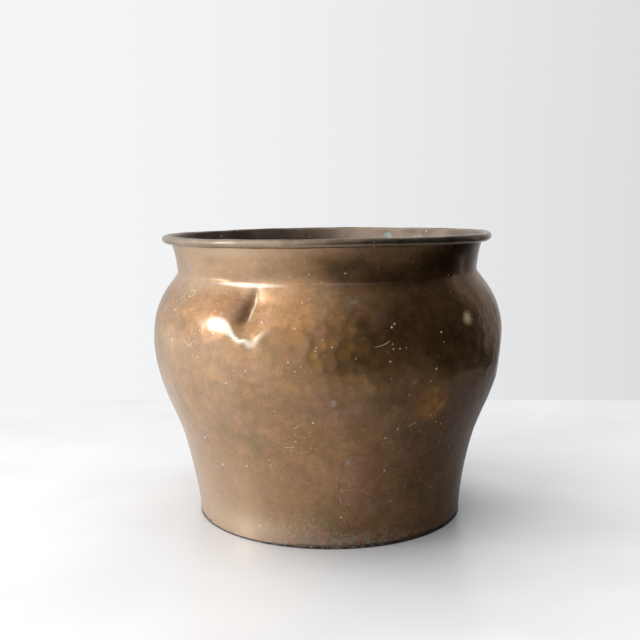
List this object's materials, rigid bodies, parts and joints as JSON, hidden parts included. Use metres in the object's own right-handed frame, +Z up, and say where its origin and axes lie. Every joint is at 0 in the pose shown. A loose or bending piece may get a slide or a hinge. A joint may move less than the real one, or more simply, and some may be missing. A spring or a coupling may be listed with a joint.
{
  "type": "planter pot",
  "caption": "Round hammered brass planter pot with a bellied body, short flared neck, wired rolled rim and soldered-in base.",
  "frame": {"origin": "on the ground, on the pot's axis", "axes": "+Z up along the pot's axis; the pot is round, and its dented side in the visual model faces -Y"},
  "size_m": [0.272, 0.272, 0.2178],
  "materials": {
    "aged_brass": "hammered, brown patina, soft shine",
    "base_brass": "dull brown patina, scuffed",
    "iron_wire": "plain drawn wire, darkened",
    "soft_solder": "dull grey soft solder"
  },
  "bodies": {
    "root": {"body_shell": "aged_brass", "rim_wire": "iron_wire", "base_disc": "base_brass", "base_solder": "soft_solder"}
  },
  "joints": []
}
